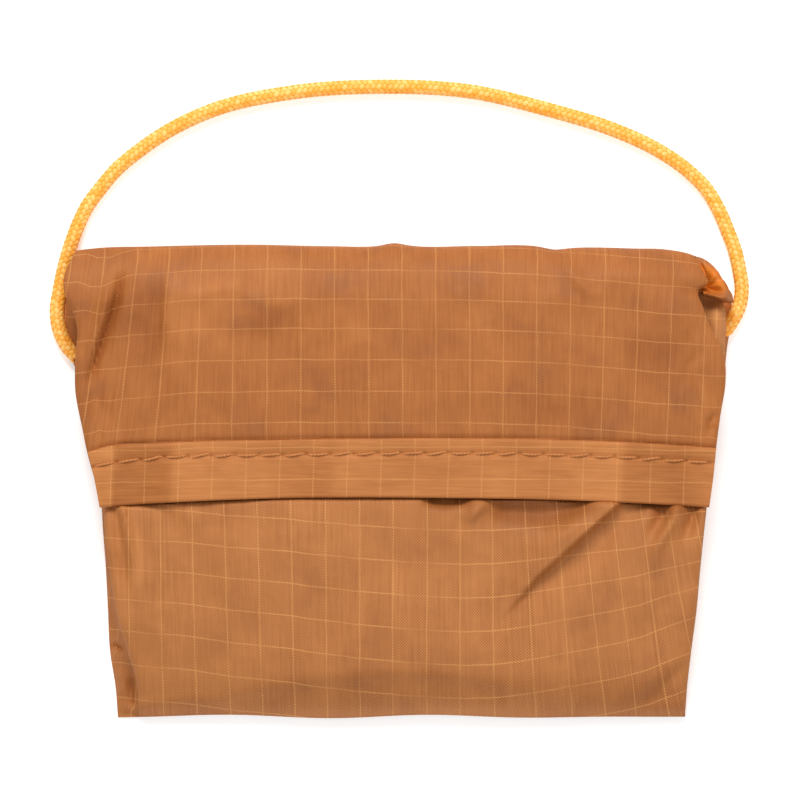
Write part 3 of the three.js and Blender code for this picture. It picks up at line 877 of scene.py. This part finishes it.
def clothOfFront(points):
    x, y = points[:, :, 0], points[:, :, 1]
    share = np.where(x < 15.6, curve(bodyGrid["leftShare"], y), curve(bodyGrid["rightShare"], y))
    along = y - bodyGrid["middle"] - curve(bodyGrid["rowBow"], x) * share
    leaned = x + curve(bodyGrid["lean"], x) * np.clip(y - bodyGrid["middle"], -31, 20)
    across = curve(bodyGrid["columns"], leaned)
    wall = alongRows(points)                 # the gussets' own width, which x alone doesn't show
    k = max(1, int(bodyShape["gussetShare"] * x.shape[1]))
    across[:, :k] = across[:, [k]] + wall[:, :k] - wall[:, [k]]
    across[:, -k:] = across[:, [-k - 1]] + wall[:, -k:] - wall[:, [-k - 1]]
    return np.stack([across, along], axis=2)


frontCloth = clothSheet("frontCloth", front, bodyCloth, placeFront, clothOfFront, bodyShape["tones"])
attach(frontCloth, "pouch")
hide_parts("front_panel", "left_gusset", "right_gusset")
print("front cloth made")


# ---- inner cloth: bend and lining side of the flap, in one length
inner = {
    "columns": 160, "rows": 90, "thickness": 0.16, "radius": 2.6, "mouth": -1.6, "tuckShare": 0.02,
    "bendShare": 0.22, "rise": 2.6, "droop": 1.7, "sideInset": 0.9, "leftmost": -63.5,
}


def innerHeight(x, y):                       # middle of the flap's inner layer
    share = (foldY - y) / (foldY - mouthY)
    z = foldZ + inner["radius"] + share * (inner["rise"] - inner["droop"] * (x / 63) ** 2)
    return z + smooth(share * 4) * 0.06 * waves(x, y, 41, 20)


def placeInner(u, v):
    s = v[:, 0]
    angle = np.interp(s, [inner["tuckShare"], inner["bendShare"]], [-math.pi / 2, math.pi / 2])
    y = foldY + inner["radius"] * np.cos(angle)
    z = foldZ + inner["radius"] * np.sin(angle)
    onFlap = s > inner["bendShare"]
    y[s < inner["tuckShare"]] = foldY - front["foldGap"]
    y[onFlap] = np.interp(s[onFlap], [inner["bendShare"], 1], [foldY, inner["mouth"]])
    flat = np.minimum(y, 40)
    left = curve(outline["flapLeft"], flat)[:, None] + inner["sideInset"]
    left = np.maximum(left, inner["leftmost"])
    right = curve(outline["flapRight"], flat)[:, None] - inner["sideInset"]
    x = left + (right - left) * u
    yy = np.repeat(y[:, None], u.shape[1], axis=1)
    zz = np.where(onFlap[:, None], innerHeight(x, yy), z[:, None])
    return np.stack([x, yy, zz], axis=2)


def clothOfInner(points):
    return np.stack([points[:, :, 0], -alongColumns(points)], axis=2)


innerCloth = clothSheet("innerCloth", inner, insideCloth, placeInner, clothOfInner)
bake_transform(innerCloth)
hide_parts("inner_fold", "flap_inner")
print("inner cloth made")


# ---- hem bands, one on each side of the flap's mouth
hem = {
    "upper": outline["hemTop"], "lower": outline["mouth"], "stand": 0.55, "stitchIn": 2.9,
    "lip": 0.28, "turn": 0.42, "pitch": 4.71, "firstStitch": -61.4, "lastStitch": 61.2, "width": 13,
    "columns": 420, "rows": 64, "thickness": 0.12, "edgeShare": 0.08, "gridX": 2.4, "gridY": 0.6,
    "gridLean": 0.03, "rowScale": 1.05, "coverX": 0.97, "puckerDepth": 0.24, "holeDepth": 0.42,
    "left": [(-5.2, -60.0), (1, -61.2), (7, -62.6)], "right": [(-5.2, 61.0), (1, 61.9), (7, 62.5)],
    "bow": [(-62, -0.9), (-40, -0.2), (-10, 0), (30, 0), (62, -0.8)],
    "twist": [(-62, -0.05), (-58, -0.04), (-56.5, 0.03), (-47.5, 0.03), (-45, 0.0), (-24, -0.01),
              (-10, 0.01), (20, -0.01), (42, 0.0), (45, 0.03), (56, 0.03), (62, 0.0)],
    # tones: painted light and shade, the hem's facets painted lighter or darker in steps across it
    "tones": [
        crease([(-57.2, 8), (-57.8, -6)], 0.7, step=0.36, reach=9, taper=0.05),
        crease([(-45.4, 9), (-46.2, -6)], 1.2, step=-0.3, reach=11, taper=0.05),
        crease([(-28, 9), (-25, -6)], 2.0, step=0.12, reach=9, taper=0.05),
        crease([(-13.0, 9), (-14.5, -6)], 1.4, step=-0.16, reach=8, taper=0.05),
        crease([(20, 9), (22, -6)], 2.6, step=0.1, reach=9, taper=0.05),
        crease([(44.6, 9), (43.0, -6)], 1.0, step=0.3, reach=13, taper=0.05),
        crease([(54.2, 9), (55.6, -6)], 3.4, rise=-0.14, taper=0.05),
    ],
    "folds": [
        crease([(-58.8, 7), (-57.8, -5)], 1.5, rise=0.4, taper=0.2),
        crease([(-50, 7), (-49, -4)], 4.0, rise=-0.12, taper=0.2),
        crease([(-43, 8), (-46.5, 1), (-47, -4)], 1.8, rise=0.25),
        crease([(43, 7), (46, 1), (47, -5)], 2.6, rise=-0.12, taper=0.2),
        crease([(53, 7), (55, -5)], 2.6, rise=0.2, taper=0.2),
        crease([(60, 6), (60.2, -4)], 1.4, rise=-0.15, taper=0.2),
    ],
}


def stitchY(x):                              # the row of stitches, seen across the hem
    crumple = 0.9 * smooth((-46 - x) / 10) - 0.25 * smooth((-24 - x) / 20)
    return curve(hem["upper"], x) - hem["stitchIn"] - crumple * 0.6 + 0.07 * np.sin(x * 0.9)


def stitchBeat(x):                           # rises to 1 at each needle hole
    return np.cos((x - hem["firstStitch"]) / hem["pitch"] * 2 * math.pi)


def bump(away, width):                       # a soft ridge, 1 at its crest
    return np.exp(-(away / width) ** 2)


def hemHeight(x, y):                         # outer face of the hem
    z = flapHeight(x * hem["coverX"], np.maximum(y, outer["mouth"] + 0.4)) + hem["stand"]
    z = z + curve(hem["twist"], x) * (y - 2)
    z = z + folds(x, y, hem["folds"]) + 0.035 * waves(x, y, 31, 8, 0.6)
    away = y - stitchY(x)
    beat = stitchBeat(x)
    z = z - (hem["puckerDepth"] + 0.08 * beat) * bump(away, 0.7)
    z = z + 0.05 * beat * bump(away + 1.9, 1.5) - 0.03 * beat * bump(away - 1.5, 0.9)
    near = (x - hem["firstStitch"]) / hem["pitch"]
    hole = (near - np.round(near)) * hem["pitch"]
    return z - hem["holeDepth"] * np.exp(-((hole / 0.36) ** 2 + (away / 0.3) ** 2))


def placeHem(u, v):
    down = 7 - 12.2 * v
    left, right = curve(hem["left"], down), curve(hem["right"], down)
    x = left + (right - left) * u
    share, lip, turn = hem["edgeShare"], hem["lip"], hem["turn"]
    upper, lower = curve(hem["upper"], x) - lip, curve(hem["lower"], x) + turn
    t = np.clip((v - share) / (1 - 2 * share), 0, 1)
    y = upper + (lower - upper) * t
    z = hemHeight(x, y)
    top = (1 - np.clip(v / share, 0, 1)) * math.pi * 0.9      # edge turned under at the top
    bottom = np.clip((v - 1 + share) / share, 0, 1) * math.pi  # cloth turned round the mouth
    y = y + lip * np.sin(top) * (v < share) - turn * np.sin(bottom) * (v > 1 - share)
    z = z - lip * (1 - np.cos(top)) - turn * (1 - np.cos(bottom))
    return np.stack([x, y, z], axis=2)


def clothOfHem(points):
    x, y = points[:, :, 0], points[:, :, 1]
    along = (y - hem["gridY"] - curve(hem["bow"], x)) * hem["rowScale"]
    return np.stack([x - hem["gridX"] - hem["gridLean"] * y, along], axis=2)


outerHem = clothSheet("outerHem", hem, hemCloth, placeHem, clothOfHem, hem["tones"])
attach(outerHem, "flap")
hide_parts("outer_hem")


liningHem = {
    "columns": 300, "rows": 40, "thickness": 0.12, "below": 0.42, "pucker": 0.2,
    "left": [(-5.2, -59.6), (8.4, -61.6)], "lowerGap": 0.5, "upperGap": 0.4, "turn": 0.3,
}


def innerHemHeight(x, y):                    # lining face of the hem, which looks down on the pouch
    z = innerHeight(x, np.clip(y, mouthY + 1, foldY)) - liningHem["below"]
    pucker = (liningHem["pucker"] + 0.08 * stitchBeat(x)) * bump(y - stitchY(x), 0.7)
    return z + pucker - 0.03 * waves(x, y, 32, 8, 0.6)


def placeInnerHem(u, v):
    left = curve(liningHem["left"], mouthY + hem["width"] * v)
    x = left * (1 - 2 * u)
    lower = curve(hem["lower"], x) + liningHem["lowerGap"]
    y = lower + (curve(hem["upper"], x) - liningHem["upperGap"] - lower) * v
    tucked = np.clip((v - 0.93) / 0.07, 0, 1) * math.pi       # the last rows turn in against the flap
    z = innerHemHeight(x, y) + liningHem["turn"] * (1 - np.cos(tucked))
    return np.stack([x, y, z], axis=2)


def clothOfInnerHem(points):
    return np.stack([points[:, :, 0] - hem["gridX"], points[:, :, 1]], axis=2)


innerHem = clothSheet("innerHem", liningHem, hemCloth, placeInnerHem, clothOfInnerHem)
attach(innerHem, "flap")
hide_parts("inner_hem")
print("hems made")


# ---- stitches: a two-ply thread that dives into the hem at each needle hole
stitch = {
    "ply": 0.16, "wind": 0.115, "turns": 3.2, "lift": 0.4, "dive": 0.3, "steps": 17, "sides": 7,
    "gap": 0.1, "tilt": 0.24, "hook": -0.28,
}


def makeStitches(name, heightAt, first, seed, outward=1):
    rng = np.random.default_rng(seed)
    points, faces, base = [], [], 0
    t = np.linspace(0, 1, stitch["steps"])
    arch = np.sin(math.pi * t)
    rise = outward * (stitch["lift"] * arch ** 0.4 - stitch["dive"] * (1 - arch))
    hook = stitch["hook"] * np.clip((t - 0.86) / 0.14, 0, 1) ** 2
    for k in range(int((hem["lastStitch"] - hem["firstStitch"]) / hem["pitch"])):
        reach = hem["pitch"] * rng.uniform(0.93, 1.0)
        x = first + hem["pitch"] * k + stitch["gap"] + reach * t
        tilt = rng.normal(stitch["tilt"], 0.08)
        y = stitchY(x) + tilt * (t - 0.5) * 2 + hook
        middle = np.stack([x, y, heightAt(x, y) + rise], axis=1)
        forward, side, up = framesOn(middle)
        for ply in range(2):
            phase = ply * math.pi + 2 * math.pi * t * stitch["turns"] + k
            wind = stitch["wind"] * (np.cos(phase)[:, None] * side + np.sin(phase)[:, None] * up)
            radius = stitch["ply"] * (0.5 + 0.5 * arch ** 0.3)
            strand, strandFaces = tubeParts(middle + wind, radius, stitch["sides"])
            points.append(strand)
            faces += [tuple(i + base for i in f) for f in strandFaces]
            base += len(strand)
    return meshFrom(name, np.concatenate(points), faces, hemThread)


hemStitches = makeStitches("hemStitches", hemHeight, hem["firstStitch"], seed=3)
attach(hemStitches, "flap")
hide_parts("outer_hem_thread")
innerStitches = makeStitches("innerHemStitches", innerHemHeight, hem["firstStitch"] + 0.3, seed=4,
                             outward=-1)
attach(innerStitches, "flap")
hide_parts("inner_hem_thread")
print("stitches made")


# ---- gussets of the neck, folded flat between the flap's two layers
neck = {
    "columns": 24, "rows": 80, "thickness": 0.14, "depth": 7.5, "fromY": mouthY + 1.2,
    "toY": foldY - 1.5, "inset": 1.3, "widest": 62, "lowGap": 0.25, "highGap": 0.45,
    "highest": foldZ + 6.6,
}


def placeNeck(side):
    edgeName = "flapLeft" if side < 0 else "flapRight"

    def place(u, v):
        y = neck["fromY"] + (neck["toY"] - neck["fromY"]) * v
        edge = np.clip(np.abs(curve(outline[edgeName], y)) - neck["inset"], 0, neck["widest"])
        into = neck["depth"] * (1 - np.abs(2 * u - 1) ** 1.6)
        x = side * (edge - into)
        low = innerHeight(x, y) + neck["lowGap"]
        high = np.minimum(flapHeight(x, y) - neck["highGap"], neck["highest"])
        z = low + (high - low) * smooth(0.15 + 0.7 * u) + 0.05 * waves(x, y, 51, 9)
        return np.stack([x, y, z], axis=2)
    return place


def clothOfNeck(points):
    return np.stack([alongRows(points), points[:, :, 1]], axis=2)


for side, label in ((-1, "left"), (1, "right")):
    piece = clothSheet(label + "NeckGusset", neck, insideCloth, placeNeck(side), clothOfNeck)
    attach(piece, "flap")
    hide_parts(label + "_neck_gusset")


# ---- gussets where they run on through the top fold, tucked in between its two layers
foldGusset = {
    "columns": 20, "rows": 44, "thickness": 0.14, "tuck": 4.4, "inset": 1.2, "clear": 0.75,
    "upper": 4.2, "lower": 6.2, "nearGap": 0.3, "crestAt": 62.0,
}


def placeFoldGusset(side):
    edgeName = "flapLeft" if side < 0 else "flapRight"

    def place(u, v):
        angle = (v - 0.5) * math.pi
        near = inner["radius"] + foldGusset["nearGap"]
        crest = curve(outer["crest"], side * foldGusset["crestAt"])
        farY = outer["radius"] + crest - foldGusset["clear"]
        farZ = foldGusset["lower"] + (foldGusset["upper"] - foldGusset["lower"]) * smooth(v)
        y = foldY + (farY + (near - farY) * u) * np.cos(angle)
        tuck = foldGusset["tuck"] * (1 - np.abs(2 * u - 1) ** 1.5)
        tuck = tuck * (1 + 0.12 * waves(10 * u, 20 * v, 91, 6))
        x = curve(outline[edgeName], y) - side * (foldGusset["inset"] + tuck)
        return np.stack([x, y, foldZ + (farZ + (near - farZ) * u) * np.sin(angle)], axis=2)
    return place


def clothOfFoldGusset(points):
    return np.stack([alongRows(points), alongColumns(points)], axis=2)


for side, label in ((-1, "left"), (1, "right")):
    piece = clothSheet(label + "FoldGusset", foldGusset, flapCloth, placeFoldGusset(side),
                       clothOfFoldGusset)
    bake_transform(piece)


# ---- cloth of the right gusset where it puffs out of the top fold, pleated like a fan
corner = {
    "columns": 60, "rows": 84, "thickness": 0.16, "middle": (60.2, 38.9),
    "outline": [(-100, 1.8), (-84, 1.9), (-60, 2.5), (-45, 3.6), (-37, 5.0), (-30, 6.4), (-18, 6.0),
                (-2, 4.8), (14, 4.25), (29, 4.0), (45, 4.15), (63, 4.5), (82, 5.2), (100, 6.1),
                (118, 6.9)],
    "turns": [(0, -100), (0.16, -45), (0.3, -24), (1, 118)], "backLine": [(0, 37.4), (1, 43.8)],
    "hidden": 0.3, "tail": 4.4, "bed": 9.2, "crest": 11.4, "rim": 6.8, "start": 0.5, "pleats": 9.5,
    "pleatDepth": 0.42, "below": 0.45,
}


def placeCorner(u, v):
    middleX, middleY = corner["middle"]
    turn = curve(corner["turns"], v)         # degrees round the fan
    angle = np.radians(turn)
    reach = curve(corner["outline"], turn)
    out = np.clip((u - corner["hidden"]) / (1 - corner["hidden"]), 0, 1)
    away = corner["start"] + (reach - corner["start"]) * out
    x = middleX + away * np.cos(angle)
    y = middleY + away * np.sin(angle)
    back = 1 - np.clip(u / corner["hidden"], 0, 1)       # runs on under the flap
    x = x - corner["tail"] * back
    y = y + (curve(corner["backLine"], v) - middleY) * back
    share = away / reach
    z = corner["bed"] + (corner["crest"] - corner["bed"]) * smooth((share - 0.1) / 0.6)
    z = z - (corner["crest"] - corner["rim"]) * smooth((share - 0.66) / 0.36) ** 1.8
    pleat = np.sin(angle * corner["pleats"] + 0.9 * waves(x, y, 62, 6))
    z = z + corner["pleatDepth"] * pleat * smooth(share / 0.4) * (1 - 0.5 * share)
    z = z - 2.4 * smooth((share - 0.8) / 0.2) * smooth((-24 - turn) / 8)
    z = z + 0.06 * waves(x, y, 61, 2.6)
    level = np.clip((y - foldY) / (outer["radius"] + curve(outer["crest"], x)), 0, 0.98)
    height = np.sqrt(1 - level ** 2)
    under = foldZ + outer["radius"] * height + smooth(height) * (flapHeight(x, y) - flapShape["top"])
    under = under - corner["below"]          # just under the flap and its fold
    hidden = smooth((curve(outline["flapRight"], y) + 0.5 - x) / 0.7)
    return np.stack([x, y, z * (1 - hidden) + np.minimum(z, under) * hidden], axis=2)


def glowOfCorner(points):                    # painted glow: light coming through the single cloth inside the fan, painted into its colour
    x, y = points[:, :, 0] - corner["middle"][0], points[:, :, 1] - corner["middle"][1]
    return 0.9 * (1 - smooth((np.hypot(x, y) - 3.2) / 2.4)) * (1 - 0.8 * smooth((-0.3 - y) / 1.4))


def clothOfCorner(points):
    return points[:, :, :2]


foldPuff = clothSheet("rightFoldPuff", corner, flapCloth, placeCorner, clothOfCorner, glowAt=glowOfCorner)
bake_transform(foldPuff)
print("gussets made")


# ---- turned edges inside the seams
seam = {"layerGap": 0.2, "turnShare": 0.08, "inset": 7.0, "width": 4.9, "widest": 61.2,
        "endGap": 0.2, "sideGap": 0.1, "backLevel": 1.35, "underFront": 1.7}
sideSeam = {"columns": 28, "rows": 90, "thickness": 0.12, "layers": 2}
bottomSeam = {"columns": 30, "rows": 110, "thickness": 0.12, "layers": 3}


def seamStrip(name, node, spec, heightAt):
    low, high = [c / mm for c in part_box(node)]
    lengthwise = high.y - low.y > high.x - low.x       # a side seam, which runs up the pouch
    side = 1 if low.x > 0 else -1
    layers, endGap, sideGap = spec["layers"], seam["endGap"], seam["sideGap"]

    def place(u, v):
        turns = u * layers                   # the strip goes to and fro, once for each layer
        share = 1 - np.abs((turns % 2) - 1)
        level = (np.clip(np.floor(turns), 0, layers - 1) - (layers - 1) / 2) * seam["layerGap"]
        bend = np.round(turns)               # the turned edge that each point is nearest to
        within = np.clip(1 - np.abs(turns - bend) / seam["turnShare"], 0, 1)
        halfway = seam["layerGap"] / 2 * within
        level = level + halfway * (np.sign(bend - turns) * (bend > 0) * (bend < layers))
        if lengthwise:
            y = low.y + endGap + (high.y - low.y - 2 * endGap) * v
            edge = np.abs(curve(outline["frontLeft" if side < 0 else "frontRight"], y))
            x = side * np.clip(edge - seam["inset"] + seam["width"] * share, 0, seam["widest"])
        else:
            y = low.y + sideGap + (high.y - low.y - 2 * sideGap) * share
            x = low.x + endGap + (high.x - low.x - 2 * endGap) * v
        z = heightAt(x, y) + level + 0.04 * waves(x, y, 71, 7)
        return np.stack([x, y, z], axis=2)

    def clothOf(points):
        return np.stack([alongRows(points), points[:, :, 1 if lengthwise else 0]], axis=2)

    strip = clothSheet(name, spec, insideCloth, place, clothOf)
    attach(strip, "pouch")
    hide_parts(node)


def backSeamHeight(x, y):
    return seam["backLevel"] + 0 * x


def frontSeamHeight(x, y):
    dents = np.minimum(folds(x, y, bodyShape["folds"]), 0)
    return curve(bodyShape["side"], y) - seam["underFront"] + dents


for label in ("left", "right"):
    seamStrip(label + "BackSeam", label + "_back_seam", sideSeam, backSeamHeight)
    seamStrip(label + "FrontSeam", label + "_front_seam", sideSeam, frontSeamHeight)
seamStrip("baseSeam", "base_seam", bottomSeam, backSeamHeight)
print("seams made")


# ---- ends of the cord inside the seams, each held by a bar of thread in zigzag stitches
tackStitch = {"pitch": 0.32, "radius": 0.12, "sides": 6, "gap": 0.2, "sideGap": 0.3, "weave": 0.05}


def makeTack(name, low, high):
    start, end = low.y + tackStitch["gap"], high.y - tackStitch["gap"]
    total = int(abs(end - start) / tackStitch["pitch"])
    t = np.linspace(0, 1, 2 * total + 1)
    swing = np.where(np.arange(len(t)) % 2, 0.5, -0.5) * (high.x - low.x - tackStitch["sideGap"])
    lift = tackStitch["weave"] * np.cos(np.arange(len(t)) * math.pi)
    x, z = (low.x + high.x) / 2 + swing, (low.z + high.z) / 2 + lift
    path = np.stack([x, start + (end - start) * t, z], axis=1)
    return meshFrom(name, *tubeParts(path, tackStitch["radius"], tackStitch["sides"]), hemThread)


for side, label in ((-1, "left"), (1, "right")):
    low, high = [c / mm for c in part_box(label + "_cord_end")]
    y, z = (low.y + high.y) / 2, (low.z + high.z) / 2
    reach = np.linspace(low.x, high.x, 8) if side > 0 else np.linspace(high.x, low.x, 8)
    end, _, _ = makeBraid(label + "CordEnd", [(x, y, z) for x in reach], {**cord, "seed": 8 + side})
    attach(end, "pouch")
    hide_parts(label + "_cord_end")
    low, high = [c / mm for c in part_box(label + "_cord_tack")]
    tack = makeTack(label + "CordTack", low, high)
    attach(tack, "pouch")
    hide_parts(label + "_cord_tack")
print("cord ends made")


# ---- floor and soft studio light
bpy.ops.mesh.primitive_plane_add(size=6, location=(0, 0, -0.0001))
floor = bpy.context.object
floor.name = "floor"
floorLook = bpy.data.materials.new("paleFloor")
floorLook.use_nodes = True
floorInputs = floorLook.node_tree.nodes["Principled BSDF"].inputs
floorInputs["Base Color"].default_value = (0.93, 0.93, 0.93, 1)
floorInputs["Roughness"].default_value = 0.9
floorInputs["Emission Color"].default_value = (1, 1, 1, 1)
floorInputs["Emission Strength"].default_value = 0.35
floor.data.materials.append(floorLook)
floor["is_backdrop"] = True

lamps = [
    {"name": "topBox", "at": (-0.1, 0.9, 0.95), "size": 0.5, "power": 11.8},
    {"name": "frontBox", "at": (0.2, -0.45, 1.35), "size": 0.9, "power": 5.6},
]
for lamp in lamps:
    bpy.ops.object.light_add(type="AREA", location=lamp["at"])
    light = bpy.context.object
    light.name = lamp["name"]
    light.data.shape = "DISK"
    light.data.size = lamp["size"]
    light.data.energy = lamp["power"]
    light.rotation_euler = (-Vector(lamp["at"])).to_track_quat("-Z", "Y").to_euler()
world = bpy.data.worlds.new("studio")
bpy.context.scene.world = world
world.use_nodes = True
worldInputs = world.node_tree.nodes["Background"].inputs
worldInputs["Color"].default_value = (1, 1, 1, 1)
worldInputs["Strength"].default_value = 0.46
print("light made")

low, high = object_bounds()
